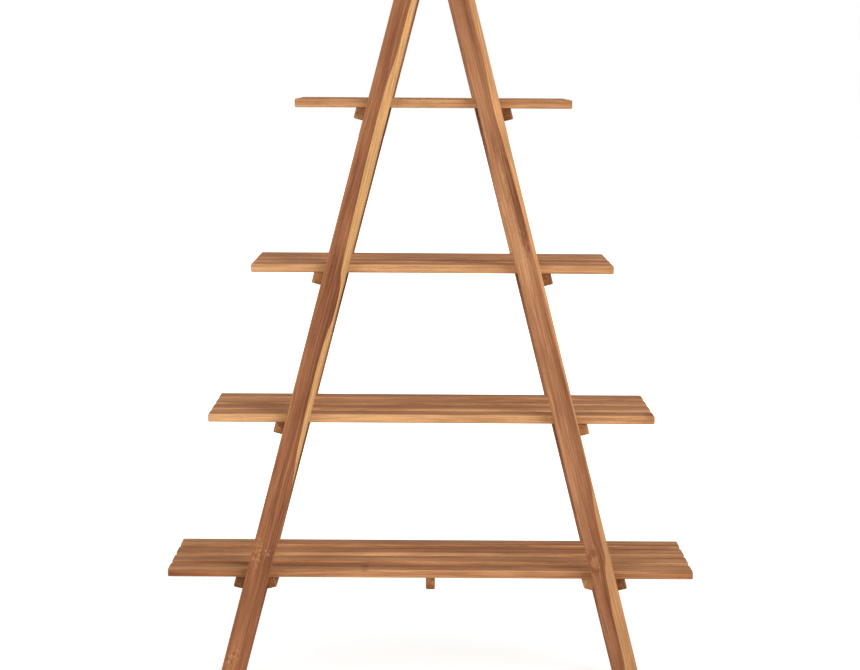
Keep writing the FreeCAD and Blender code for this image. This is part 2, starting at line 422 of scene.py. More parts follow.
@cache
def mark_effect() -> bpy.types.NodeTree:
    """An uneven oval mark in the timber, with grain that flows round it.

    Returns:
        The node group.
    """
    graph = Group("ShaderNodeTree", "teak_mark", {
        "Board": ORIGIN, "Place": ORIGIN, "Size": (0.01, 0.01, 1.0), "Seed": 0.0, "Ragged": 0.8, "Push": 0.0})
    given = graph.given
    board, seed = given["Board"], given["Seed"]
    offset = board - given["Place"]
    rough = graph.cells(board, (70.0, 210.0, 210.0), seed, 3.0) - 0.5
    reach = graph.length(offset / given["Size"]) + rough * given["Ragged"]
    bend = graph.ramp(reach, 0.3, 2.6, 1.0, 0.0) * given["Push"]
    specks = graph.cells(board, (120.0, 170.0, 170.0), seed, 2.0)
    return graph.put_out({
        "Flow": board + graph.scaled(offset, bend) * (0.0, -1.0, -1.0),
        "Inside": graph.ramp(reach, 0.35, 1.0, 1.0, 0.0),
        "Rim": graph.ramp(reach, 0.6, 1.0) * graph.ramp(reach, 1.0, 1.9, 1.0, 0.0),
        "Specks": graph.ramp(specks, 0.48, 0.58),
        "Flecks": graph.ramp(specks, 0.34, 0.46, 1.0, 0.0),
    })


@cache
def edges_effect() -> bpy.types.NodeTree:
    """Wear along the arrises of a board, and where its end grain shows.

    Returns:
        The node group.
    """
    graph = Group("ShaderNodeTree", "board_edges", {
        "Board": ORIGIN, "Half Size": (1.0, 1.0, 1.0), "Grain": X_AXIS, "Seed": 0.0})
    given = graph.given
    board = given["Board"]
    x, y, z = graph.split(given["Half Size"] - graph.vector("ABSOLUTE", board))
    pairs = [graph.math("MAXIMUM", first, second) for first, second in ((x, y), (y, z), (x, z))]
    distance = graph.math("MINIMUM", graph.math("MINIMUM", pairs[0], pairs[1]), pairs[2])
    rough = graph.cells(board, (28.0, 90.0, 90.0), given["Seed"], 3.0) - 0.5
    facing = graph.math("ABSOLUTE", graph.vector("DOT_PRODUCT", graph.normal(), given["Grain"], "Value"))
    near_end = graph.ramp(x, 0.0002, 0.0010, 1.0, 0.0)
    return graph.put_out({
        "Wear": graph.ramp(distance + rough * 0.006, 0.0004, 0.0034, 1.0, 0.0),
        "End Grain": graph.math("MAXIMUM", graph.ramp(facing, 0.55, 0.90), near_end),
    })


@dataclass(frozen=True)
class Mark:
    """A mark in a board: its middle and its half sizes along, across and into the board."""

    kind: MarkKind
    place: Triple
    size: Triple
    strength: float = 1.0

    @property
    def ragged(self) -> float:
        """How uneven its outline is."""
        return 0.9 if self.kind is MarkKind.STAIN else 1.8

    @property
    def push(self) -> float:
        """How far the grain gives way to it."""
        return 0.6 if self.kind is MarkKind.KNOT else 0.0


@dataclass(frozen=True)
class TeakFinish:
    """Oiled teak: its colours, and how the log lay to the boards that were sawn from it."""

    name: str
    dark: Tint
    heart: Tint
    pale: Tint
    sapwood: Tint = Tint(216, 165, 110)
    mark: Tint = Tint(204, 144, 98)
    pore: Tint = Tint(78, 46, 30)
    patina: Tint = Tint(150, 116, 90)    # dust and wear on faces that look up, with a painted sheen
    grain: Triple = X_AXIS
    pith_across: float = 0.0
    pith_depth: float = -0.05
    pith_spread: float = 0.0
    ring_width: float = 0.0045
    sapwood_line: Line = ()              # share of the length, share of the width
    sapwood_lift: float = 0.08           # most that a pale tone adds to it
    margin_width: float = 0.013          # of the darker heartwood beside the sapwood
    tone_line: Line = ()                 # share of the length, tone raised by a half
    length: float = 1.0                  # of the boards, along both lines
    width: float = 0.05
    contrast: float = 2.4                # of the streaks along the grain
    cloud: float = 0.9                   # of the broad patches
    margin_shade: float = 0.45           # how strong each shade is
    ring_shade: float = 0.36
    stain_shade: float = 0.42
    rim_shade: float = 0.55
    fleck_shade: float = 0.60
    end_shade: float = 0.75
    knot_cover: float = 0.20             # how much of the timber's colour each one hides
    speck_cover: float = 0.50
    gold_cover: float = 0.80
    pore_cover: float = 0.45
    patina_cover: float = 0.10
    wear_cover: float = 0.28
    marks: tuple[Mark, ...] = ()
    roughness: float = 0.60

    @cache
    def material(self) -> bpy.types.Material:
        """Material of this finish, made once.

        Returns:
            The material.
        """
        material, graph = begin_material(self.name)
        board, seed = graph.attribute("board"), graph.attribute("seed", "Fac")
        flow = board
        marks = []
        for mark in self.marks:
            marks.append(graph.group(mark_effect(), {
                "Board": flow, "Place": mark.place, "Size": mark.size, "Seed": seed, "Ragged": mark.ragged,
                "Push": mark.push}))
            flow = marks[-1]["Flow"]
        figure = graph.group(figure_effect(), {
            "Board": flow, "Seed": seed, "Pith Across": self.pith_across, "Pith Depth": self.pith_depth,
            "Pith Spread": self.pith_spread, "Ring Width": self.ring_width,
            "Sapwood Edge": self._sapwood_edge(graph, board), "Margin Width": self.margin_width})
        edges = graph.group(edges_effect(), {
            "Board": board, "Half Size": graph.attribute("half_size"), "Grain": self.grain, "Seed": seed})
        colour = self._timber(graph, figure, marks, self._tone(graph, board))
        colour = self._surface(graph, colour, figure, edges)
        rough = (self.roughness + figure["Fibre"] * 0.12 + figure["Pores"] * 0.14
                 + edges["End Grain"] * 0.16 - edges["Wear"] * 0.07)
        height = figure["Fibre"] * 0.45 + figure["Rings"] * 0.25 - figure["Pores"] * 0.60
        bump = graph.add("ShaderNodeBump", {"Strength": 0.35, "Distance": 0.0005, "Height": height})
        shader = graph.add("ShaderNodeBsdfPrincipled", {
            "Base Color": colour, "Roughness": rough, "IOR": 1.46, "Specular IOR Level": 0.05,
            "Normal": bump})
        graph.node("ShaderNodeOutputMaterial", {"Surface": shader})
        return material

    def _along(self, graph: Graph, board: Field, line: Line) -> Field:
        """Height of a line at each place along the board."""
        return graph.curve(graph.split(board)[0] / self.length + 0.5, line)

    def _tone(self, graph: Graph, board: Field) -> Field:
        """How much paler than usual the timber is, from -0.5 to 0.5."""
        tone = graph.attribute("tone", "Fac")
        return tone + self._along(graph, board, self.tone_line) - 0.5 if self.tone_line else tone

    def _sapwood_edge(self, graph: Graph, board: Field) -> Value:
        """Place across the board where its sapwood starts.

        Args:
            graph: Graph of the material.
            board: Coordinates in the board.

        Returns:
            The place, which lies far outside a board without sapwood.
        """
        if not self.sapwood_line:
            return NO_SAPWOOD
        share = self._along(graph, board, self.sapwood_line)
        return share * (-SAPWOOD_REACH * self.width) + 0.5 * self.width

    def _timber(self, graph: Graph, figure: dict[str, Field], marks: list[dict[str, Field]],
                tone: Field) -> Field:
        """Colour that goes right through the timber.

        Args:
            graph: Graph of the material.
            figure: Masks of the grain.
            marks: Masks of each mark.
            tone: How much paler than usual the timber is.

        Returns:
            The colour.
        """
        streak = (figure["Streak"] - 0.5) * self.contrast
        cloud = (figure["Cloud"] - 0.5) * self.cloud
        band = graph.node("ShaderNodeValToRGB", {"Fac": 0.5 + streak + cloud + tone})
        stops = band.color_ramp.elements
        stops[0].color, stops[1].color = self.dark.linear(), self.pale.linear()
        stops.new(0.5).color = self.heart.linear()
        colour = Field(graph, band.outputs["Color"])
        colour = graph.shaded(colour, figure["Margin"], self.margin_shade, Shade.MARGIN)
        marked = 1.0 - graph.attribute("plain", "Fac")
        insides = [masks["Inside"] * (marked * mark.strength) for mark, masks in zip(self.marks, marks)]
        broken = graph.ramp(figure["Streak"], 0.40, 0.62, 1.0, 0.30)
        for mark, inside in zip(self.marks, insides):
            if mark.kind is MarkKind.STAIN:
                colour = graph.shaded(colour, inside * broken, self.stain_shade, Shade.STAIN)
        lift = 1.0 + graph.math("MINIMUM", tone, self.sapwood_lift)
        colour = graph.mix(figure["Sapwood"], colour, graph.scaled(self.sapwood.linear()[:3], lift))
        colour = graph.shaded(colour, figure["Rings"], self.ring_shade, Shade.RING)
        for mark, masks, inside in zip(self.marks, marks, insides):
            if mark.kind is MarkKind.KNOT:
                colour = graph.mix(inside * self.knot_cover, colour, self.mark.linear())
                colour = graph.shaded(colour, masks["Rim"], self.rim_shade, Shade.RIM)
            elif mark.kind is MarkKind.BURL:
                colour = graph.shaded(colour, inside * masks["Flecks"], self.fleck_shade, Shade.FLECK)
                colour = graph.mix(inside * masks["Specks"] * self.speck_cover, colour, self.mark.linear())
            elif mark.kind is MarkKind.GOLD:
                colour = graph.mix(inside * self.gold_cover, colour, self.sapwood.linear())
        return colour

    def _surface(self, graph: Graph, colour: Field, figure: dict[str, Field],
                 edges: dict[str, Field]) -> Field:
        """Colour of the timber's surface, with its fibres, pores, dust and painted sheen on its tops, and
        wear.

        Args:
            graph: Graph of the material.
            colour: Colour of the timber.
            figure: Masks of the grain.
            edges: Masks of the arrises and ends.

        Returns:
            The colour.
        """
        colour = graph.scaled(colour, graph.ramp(figure["Fibre"], 0.2, 0.8, 0.74, 1.24))
        colour = graph.mix(figure["Pores"] * self.pore_cover, colour, self.pore.linear())
        # faces that look up turn greyer: their dust, and a painted sheen
        top_dust_and_sheen = graph.ramp(graph.split(graph.normal())[2], 0.55, 0.98, 0.0, self.patina_cover)
        colour = graph.mix(top_dust_and_sheen, colour, self.patina.linear())
        colour = graph.mix(edges["Wear"] * self.wear_cover, colour, self.pale.linear())
        return graph.shaded(colour, edges["End Grain"], self.end_shade, Shade.END)


@dataclass(frozen=True)
class SteelFinish:
    """Zinc plated steel, a little dull and smudged."""

    name: str
    bright: Tint = Tint(196, 194, 188)
    dull: Tint = Tint(140, 137, 130)
    roughness: float = 0.30

    @cache
    def material(self) -> bpy.types.Material:
        """Material of this finish, made once.

        Returns:
            The material.
        """
        material, graph = begin_material(self.name)
        place = graph.add("ShaderNodeTexCoord", output="Object")
        smudge = graph.noise(graph.scaled(place, 420.0), 3.0, 4.0)
        scratch = graph.cells(place, (900.0, 5200.0, 900.0), 7.0, 2.0)
        colour = graph.mix(graph.ramp(smudge, 0.35, 0.65), self.bright.linear(), self.dull.linear())
        rough = self.roughness + smudge * 0.16 + scratch * 0.10
        bump = graph.add("ShaderNodeBump", {"Strength": 0.20, "Distance": 0.0001, "Height": scratch})
        shader = graph.add("ShaderNodeBsdfPrincipled", {
            "Base Color": colour, "Metallic": 1.0, "Roughness": rough, "Normal": bump})
        graph.node("ShaderNodeOutputMaterial", {"Surface": shader})
        return material


THROUGH = 1.0                            # half size of a mark that goes right through a board
LEG_FACE = -0.018                        # front face of a leg, from its middle
SLAT_FACE = -0.029                       # front face of a slat, from its middle


def leg_mark(kind: MarkKind, along: float, across: float, half_length: float, half_width: float,
             strength: float = 1.0) -> Mark:
    """Mark on the front face of a leg."""
    return Mark(kind, (along, across, LEG_FACE), (half_length, half_width, THROUGH), strength)


def slat_mark(kind: MarkKind, along: float, up: float, half_length: float, half_height: float,
              strength: float = 1.0) -> Mark:
    """Mark on the front face of a slat."""
    return Mark(kind, (along, SLAT_FACE, up), (half_length, THROUGH, half_height), strength)


LEFT_LEG_TEAK = TeakFinish(
    "left_leg", Tint(112, 68, 48), Tint(161, 105, 73), Tint(192, 134, 92), pith_across=-0.06, pith_depth=0.03,
    contrast=1.8,
    tone_line=((0.0, 0.46), (0.10, 0.44), (0.17, 0.37), (0.215, 0.42), (0.28, 0.52), (0.44, 0.50),
               (0.625, 0.50), (0.76, 0.57), (1.0, 0.55)),
    sapwood_line=((0.0, 0.0), (0.27, 0.03), (0.31, 0.12), (0.35, 0.25), (0.43, 0.30), (0.48, 0.24),
                  (0.51, 0.16), (0.56, 0.34), (0.64, 0.41), (0.73, 0.455), (0.77, 0.43), (0.81, 0.33),
                  (0.85, 0.31), (1.0, 0.27)),
    marks=(leg_mark(MarkKind.BURL, -0.814, -0.008, 0.032, 0.020),
           leg_mark(MarkKind.BURL, -0.564, -0.014, 0.050, 0.016),
           leg_mark(MarkKind.BURL, -0.561, 0.010, 0.014, 0.009),
           leg_mark(MarkKind.STAIN, 0.100, -0.002, 0.085, 0.020, 1.4),
           leg_mark(MarkKind.STAIN, 0.240, -0.012, 0.200, 0.012)))
RIGHT_LEG_TEAK = TeakFinish(
    "right_leg", Tint(132, 82, 56), Tint(179, 124, 88), Tint(208, 153, 110), sapwood=Tint(214, 157, 108),
    pith_across=-0.05, pith_depth=0.04, contrast=1.8, margin_width=0.026, margin_shade=0.72,
    tone_line=((0.0, 0.27), (0.10, 0.30), (0.28, 0.42), (0.44, 0.54), (0.52, 0.62), (0.575, 0.92),
               (0.62, 0.82), (0.67, 0.68), (0.70, 0.46), (0.74, 0.60), (0.80, 0.48), (1.0, 0.51)),
    sapwood_line=((0.0, 0.66), (0.06, 0.62), (0.08, 0.53), (0.14, 0.51), (0.16, 0.45), (0.19, 0.41),
                  (0.21, 0.26), (0.26, 0.23), (0.30, 0.11), (0.45, 0.13), (0.57, 0.17), (0.70, 0.28),
                  (0.745, 0.335), (0.81, 0.245), (0.94, 0.29), (1.0, 0.29)),
    marks=(leg_mark(MarkKind.KNOT, -0.576, -0.010, 0.020, 0.012),
           leg_mark(MarkKind.STAIN, 0.262, 0.008, 0.160, 0.018, 4.2),
           leg_mark(MarkKind.STAIN, 0.396, -0.004, 0.060, 0.014),
           leg_mark(MarkKind.STAIN, 0.740, 0.003, 0.270, 0.012, 1.3)))
# The rear right leg gets its own line of sapwood; the rear left one darkens towards its top, painted shade of
# the front leg before it.
REAR_LINES_AND_SHADE = {
    Side.LEFT: {"tone_line": ((0.0, 0.46), (0.5, 0.40), (1.0, 0.34))},
    Side.RIGHT: {"sapwood_line": ((0.0, 0.0), (0.2, 0.12), (0.45, 0.20), (0.7, 0.08), (1.0, 0.22))},
}

SLAT_TEAK = TeakFinish("oiled_slat_teak", Tint(136, 82, 52), Tint(188, 132, 90), Tint(228, 174, 122),
                       pith_depth=-0.055, pith_spread=0.07)
CLEAT_TEAK = TeakFinish("oiled_cleat_teak", Tint(128, 82, 52), Tint(168, 114, 76), Tint(226, 166, 114),
                        grain=Y_AXIS, pith_depth=-0.03, pith_spread=0.06, end_shade=0.35)
PEG_TEAK = TeakFinish("oiled_peg_teak", Tint(104, 64, 42), Tint(140, 90, 60), Tint(172, 116, 78),
                      grain=ORIGIN, pith_depth=-0.002, pith_spread=0.01, ring_width=0.0016)
STEEL = SteelFinish("zinc_steel")


EDGE_CELLS = 3                           # cells across the rounding of an arris
CORE_CELLS = {"X": 24, "Y": 4, "Z": 2}   # cells between the roundings of a slat
HEAD_SIDES = 24
SHANK_SIDES = 12
PEG_SIDES = 24
HEXAGON_TURN = math.pi / 3


class Shaper(Group):
    """A geometry node tree, with the steps that its shapes are made by."""

    def __init__(self, name: str, sizes: dict[str, Value]) -> None:
        """Start a tree, where Geometry goes in before the sizes and Material after them."""
        super().__init__("GeometryNodeTree", name, {
            "Geometry": "NodeSocketGeometry", **sizes, "Material": "NodeSocketMaterial"})

    def position(self) -> Field:
        """Place of each vertex."""
        return self.add("GeometryNodeInputPosition")

    def chance(self, high: Value) -> Field:
        """Random number from 0 for each element, drawn with the tree's seed."""
        feeds = {2: 0.0, 3: high, "Seed": self.given["Seed"]}
        return self.add("FunctionNodeRandomValue", feeds, 1, data_type="FLOAT")

    def store(self, geometry: Field, name: str, value: Field, kind: str = "FLOAT_VECTOR",
              domain: str = "POINT") -> Field:
        """Geometry with a named attribute stored on it."""
        feeds = {"Geometry": geometry, "Name": name, "Value": value}
        return self.add("GeometryNodeStoreNamedAttribute", feeds, data_type=kind, domain=domain)

    def cylinder(self, sides: int, radius: Field, depth: Field) -> dict[str, Field]:
        """Outputs of an upright cylinder with its middle at the origin."""
        feeds = {"Vertices": sides, "Radius": radius, "Depth": depth}
        return self.outputs("GeometryNodeMeshCylinder", feeds)

    def raised(self, mesh: Field, height: Field) -> Field:
        """Mesh moved up."""
        feeds = {"Geometry": mesh, "Translation": self.join(0.0, 0.0, height)}
        return self.add("GeometryNodeTransform", feeds)

    def extruded(self, mesh: Field, faces: Field, way: Triple, distance: Value) -> tuple[Field, Field]:
        """Pull chosen faces of a mesh out.

        Args:
            mesh: The mesh.
            faces: Selection of its faces.
            way: Where they go.
            distance: How far they go.

        Returns:
            The mesh, and the selection of the faces that now end it.
        """
        pulled = self.outputs("GeometryNodeExtrudeMesh", {
            "Mesh": mesh, "Selection": faces, "Offset": way, "Offset Scale": distance, "Individual": False})
        return pulled["Mesh"], pulled["Top"]

    def shrunk(self, mesh: Field, faces: Field, scale: Value) -> Field:
        """Mesh with chosen faces drawn in to a share of their size."""
        feeds = {"Geometry": mesh, "Selection": faces, "Scale": scale}
        return self.add("GeometryNodeScaleElements", feeds, domain="FACE")

    def eased_axis(self, share: Field, half: Field, radius: Field, core_cells: int) -> Field:
        """Place along one axis of a rounded board.

        Args:
            share: Place on the unit cube, from -1 to 1.
            half: Half of the board along this axis.
            radius: Radius of its arrises.
            core_cells: Cells between the roundings.

        Returns:
            The place, with the outer cells spread over the rounding.
        """
        edge_share = 2 * EDGE_CELLS / (core_cells + 2 * EDGE_CELLS)
        size = self.math("ABSOLUTE", share)
        core = self.math("MINIMUM", size / (1 - edge_share), 1.0)
        outer = self.math("MAXIMUM", size - (1 - edge_share), 0.0)
        turn = outer * (math.pi / 4 / edge_share)
        reach = core * (half - radius) + self.math("TANGENT", turn) * radius
        return self.math("SIGN", share) * reach

    def copies(self, points: Field, shape: Field, **feeds: Field) -> Field:
        """Instances of a shape on points, each with a seed for its grain."""
        rows = self.add("GeometryNodeInstanceOnPoints", {"Points": points, "Instance": shape, **feeds})
        return self.store(rows, "seed", self.chance(SEED_RANGE), "FLOAT", "INSTANCE")

    def close(self, instances: Field) -> bpy.types.NodeTree:
        """Put out real meshes with their material.

        Args:
            instances: What the tree has made.

        Returns:
            The finished tree.
        """
        real = self.add("GeometryNodeRealizeInstances", {"Geometry": instances})
        feeds = {"Geometry": real, "Material": self.given["Material"]}
        return self.put_out({"Geometry": self.add("GeometryNodeSetMaterial", feeds)})

    def close_on_points(self, shape: Field) -> bpy.types.NodeTree:
        """Put out a shape on the points that go in, turned as Turn says and spun by chance on its own axis.

        Args:
            shape: The shape.

        Returns:
            The finished tree.
        """
        turn = self.add("FunctionNodeEulerToRotation", {0: self.given["Turn"]})
        rows = self.copies(self.given["Geometry"], shape, Rotation=turn)
        spin = self.join(0.0, 0.0, self.chance(FULL_TURN))
        spin = self.add("FunctionNodeEulerToRotation", {0: spin})
        feeds = {"Instances": rows, "Rotation": spin, "Local Space": True}
        return self.close(self.add("GeometryNodeRotateInstances", feeds))


@cache
def slat_row_tree() -> bpy.types.NodeTree:
    """Row of boards with rounded arrises, one behind the other.

    Returns:
        The geometry node tree.
    """
    graph = Shaper("slat_row", {
        "Length": 1.0, "Width": 0.058, "Thickness": 0.019, "Edge Radius": 0.003, "Pitch": 0.088, "Count": 4,
        "End Play": 0.0008, "Middle": ORIGIN, "Seed": 1})
    given = graph.given
    halves = [given[name] * 0.5 for name in ("Length", "Width", "Thickness")]
    radius, pitch, count = given["Edge Radius"], given["Pitch"], given["Count"]
    feeds = {f"Vertices {axis}": cells + 2 * EDGE_CELLS + 1 for axis, cells in CORE_CELLS.items()}
    cube = graph.add("GeometryNodeMeshCube", {"Size": (2.0, 2.0, 2.0), **feeds})
    axes = zip(graph.split(graph.position()), halves, CORE_CELLS.values())
    square = graph.join(*[graph.eased_axis(share, half, radius, cells) for share, half, cells in axes])
    flat = graph.join(*[half - radius for half in halves])
    core = graph.vector("MINIMUM", graph.vector("MAXIMUM", square, graph.scaled(flat, -1.0)), flat)
    rounded = core + graph.scaled(graph.vector("NORMALIZE", square - core), radius)
    slat = graph.add("GeometryNodeSetPosition", {"Geometry": cube, "Position": rounded})
    slat = graph.store(slat, "board", graph.position())
    slat = graph.store(slat, "half_size", graph.join(*halves))
    first = graph.join(0.0, (count - 1.0) * pitch * -0.5, 0.0) + given["Middle"]
    line = graph.add("GeometryNodeMeshLine", {
        "Count": count, "Start Location": first, "Offset": graph.join(0.0, pitch, 0.0)})
    shorter = 1.0 - graph.chance(given["End Play"]) / given["Length"]
    return graph.close(graph.copies(line, slat, Scale=graph.join(shorter, 1.0, 1.0)))


@cache
def fastener_tree() -> bpy.types.NodeTree:
    """Round heads with a chamfered rim and a hexagon socket, and a plain shank.

    The head hangs below each point and the shank rises above it, before the Turn input turns them.

    Returns:
        The geometry node tree.
    """
    graph = Shaper("fasteners", {
        "Head Diameter": 0.008, "Head Height": 0.0026, "Rim": 0.0006, "Shank Diameter": 0.004,
        "Shank Length": 0.03, "Drive Width": 0.003, "Drive Depth": 0.0016, "Turn": ORIGIN, "Seed": 1})
    given = graph.given
    radius, rim = given["Head Diameter"] * 0.5, given["Rim"]
    barrel = given["Head Height"] - rim
    head = graph.cylinder(HEAD_SIDES, radius, barrel)
    mesh = graph.raised(head["Mesh"], barrel * -0.5)
    mesh, face = graph.extruded(mesh, head["Bottom"], DOWN, rim)
    face_radius = radius - rim
    mesh = graph.shrunk(mesh, face, face_radius / radius)
    mesh, mouth = graph.extruded(mesh, face, DOWN, 0.0)
    mesh = graph.shrunk(mesh, mouth, given["Drive Width"] * 0.5 / face_radius)
    x, y, z = graph.split(graph.position())
    angle = graph.math("FLOORED_MODULO", graph.math("ARCTAN2", y, x), HEXAGON_TURN)
    stretch = graph.math("DIVIDE", 1.0, graph.math("COSINE", angle - HEXAGON_TURN / 2))
    hexagon = graph.join(x * stretch, y * stretch, z)
    mesh = graph.add("GeometryNodeSetPosition", {"Geometry": mesh, "Selection": mouth, "Position": hexagon})
    mesh, _ = graph.extruded(mesh, mouth, UP, given["Drive Depth"])
    shank = graph.cylinder(SHANK_SIDES, given["Shank Diameter"] * 0.5, given["Shank Length"])
    whole = graph.node("GeometryNodeJoinGeometry")
    for part in (mesh, graph.raised(shank["Mesh"], given["Shank Length"] * 0.5)):
        graph.feed(whole.inputs[0], part)
    return graph.close_on_points(Field(graph, whole.outputs[0]))


@cache
def peg_tree() -> bpy.types.NodeTree:
    """Round wooden pegs, centred on each point, with a slightly crowned outer end.

    Returns:
        The geometry node tree.
    """
    graph = Shaper("pegs", {"Diameter": 0.008, "Length": 0.04, "Crown": 0.0005, "Turn": ORIGIN, "Seed": 1})
    given = graph.given
    radius = given["Diameter"] * 0.5
    peg = graph.cylinder(PEG_SIDES, radius, given["Length"])
    mesh, face = peg["Mesh"], peg["Top"]
    for rise, share in ((0.7, 0.88), (0.3, 0.55)):
        mesh, face = graph.extruded(mesh, face, UP, given["Crown"] * rise)
        mesh = graph.shrunk(mesh, face, share)
    x, y, z = graph.split(graph.position())
    mesh = graph.store(mesh, "board", graph.join(z, x, y))
    mesh = graph.store(mesh, "half_size", graph.join(given["Length"] * 0.5, radius, radius))
    return graph.close_on_points(mesh)


def add_object(name: str, data: bpy.types.ID) -> bpy.types.Object:
    """New object in the scene, for a mesh, lamp or camera.

    Args:
        name: Name of the object.
        data: What it shows.

    Returns:
        The object.
    """
    thing = bpy.data.objects.new(name, data)
    bpy.context.scene.collection.objects.link(thing)
    return thing


def new_piece(name: str, places: list[Triple], faces: list[list[int]]) -> bpy.types.Object:
    """New object with a mesh.

    Args:
        name: Name of the object.
        places: Place of each vertex.
        faces: Vertices of each face.

    Returns:
        The object.
    """
    mesh = bpy.data.meshes.new(name)
    mesh.from_pydata(places, [], faces)
    return add_object(name, mesh)


def settle(piece: bpy.types.Object) -> None:
    """Turn a piece and its modifiers into a plain mesh.

    Args:
        piece: Object that gets the finished mesh.
    """
    bpy.context.view_layer.update()
    evaluated = piece.evaluated_get(bpy.context.evaluated_depsgraph_get())
    mesh = bpy.data.meshes.new_from_object(evaluated)
    piece.modifiers.clear()
    old = piece.data
    piece.data = mesh
    bpy.data.meshes.remove(old)
    mesh.name = piece.name


def smooth(piece: bpy.types.Object) -> None:
    """Shade a piece smooth over its rounded arrises, with its flats flat.

    Args:
        piece: Object of a closed mesh.
    """
    piece.data.shade_smooth()
    piece.data.set_sharp_from_angle(angle=SHARP_ANGLE)
    evener = piece.modifiers.new("even normals", "WEIGHTED_NORMAL")
    evener.keep_sharp = True
    evener.weight = 100
    settle(piece)


def grown(name: str, tree: bpy.types.NodeTree, material: bpy.types.Material,
          points: list[Vector] | None = None, **sizes: Value) -> bpy.types.Object:
    """Piece made by a geometry node tree, as a plain, smooth mesh.

    Args:
        name: Name of the piece.
        tree: Geometry node tree.
        material: Its material.
        points: Points that the tree takes in.
        sizes: Value of each input, by its name with _ for each space and in small letters.

    Returns:
        The piece, with no modifier left on it.
    """
    piece = new_piece(name, [tuple(point) for point in points or []], [])
    grower = piece.modifiers.new("grower", "NODES")
    grower.node_group = tree
    values = {**sizes, "material": material}
    for item in tree.interface.items_tree:
        key = item.name.lower().replace(" ", "_")
        if item.in_out == "INPUT" and key in values:
            grower[item.identifier] = values[key]
    settle(piece)
    piece.data.materials.clear()
    piece.data.materials.append(material)
    smooth(piece)
    return piece


def hand_over(piece: bpy.types.Object, body: str, slot: str, *nodes: str) -> None:
    """Let a finished piece stand for its nodes and move with their body.

    Args:
        piece: The finished piece.
        body: Body that it rides on.
        slot: Material slot of the record; not used.
        nodes: Nodes that it stands for.
    """
    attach(piece, body)
    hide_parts(*nodes)
    log.info("%s: %d faces on %s, for %s", piece.name, len(piece.data.polygons), body, ", ".join(nodes))


def turned_to(way: Vector) -> Triple:
    """Turn that points the Z axis of a shape along a way."""
    return tuple(way.to_track_quat("Z", "Y").to_euler())


def write_attribute(mesh: bpy.types.Mesh, name: str, values: np.ndarray) -> None:
    """Store a number or a vector at each vertex.

    Args:
        mesh: Mesh to store it on.
        name: Name of the attribute.
        values: One number or three for each vertex.
    """
    kind, field = ("FLOAT", "value") if values.ndim == 1 else ("FLOAT_VECTOR", "vector")
    attribute = mesh.attributes.get(name) or mesh.attributes.new(name, kind, "POINT")
    attribute.data.foreach_set(field, values.astype(np.float32).ravel())


def places_of(mesh: bpy.types.Mesh) -> np.ndarray:
    """Place of each vertex.

    Args:
        mesh: Mesh to read.

    Returns:
        One row for each vertex.
    """
    places = np.zeros(len(mesh.vertices) * 3)
    mesh.vertices.foreach_get("co", places)
    return places.reshape(-1, 3)


def tones_along(tones: Tones, share: np.ndarray) -> np.ndarray:
    """Tone at each place along a board, which is -1 at its start and 1 at its end."""
    start, middle, end = tones
    return middle + (end - start) / 2 * share + ((start + end) / 2 - middle) * share ** 2


@dataclass(frozen=True)
class Board:
    """How a straight piece of timber lies: its middle, its grain, the way across its face, its half sizes."""

    middle: Vector
    grain: Vector
    across: Vector
    half: Triple
    seed: float
    tone: float = 0.0

    @classmethod
    def crosswise(cls, node: str, tilt: float, width: float, seed: float, tone: float = 0.0) -> "Board":
        """Board of a rung, cleat or batten, which runs from the front to the rear.

        Args:
            node: Node of the construction.
            tilt: How far it is turned on its own axis, in radians.
            width: Width of its tilted face.
            seed: Seed of its grain.
            tone: How much paler than usual it is.

        Returns:
            The board.
        """
        low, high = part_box(node)
        across = Vector((math.cos(tilt), 0.0, math.sin(tilt)))
        half = ((high.y - low.y) / 2, width / 2, (high.z - low.z) / 2)
        return cls((low + high) / 2, Vector(Y_AXIS), across, half, seed, tone)

    def mark(self, mesh: bpy.types.Mesh) -> None:
        """Give a mesh the coordinates that its finish reads.

        Args:
            mesh: Mesh of the board.
        """
        axes = np.array([self.grain, self.across, self.grain.cross(self.across)])
        local = (places_of(mesh) - np.array(self.middle)) @ axes.T
        count = len(local)
        write_attribute(mesh, "board", local)
        write_attribute(mesh, "half_size", np.tile(self.half, (count, 1)))
        write_attribute(mesh, "seed", np.full(count, self.seed))
        write_attribute(mesh, "tone", np.full(count, self.tone))


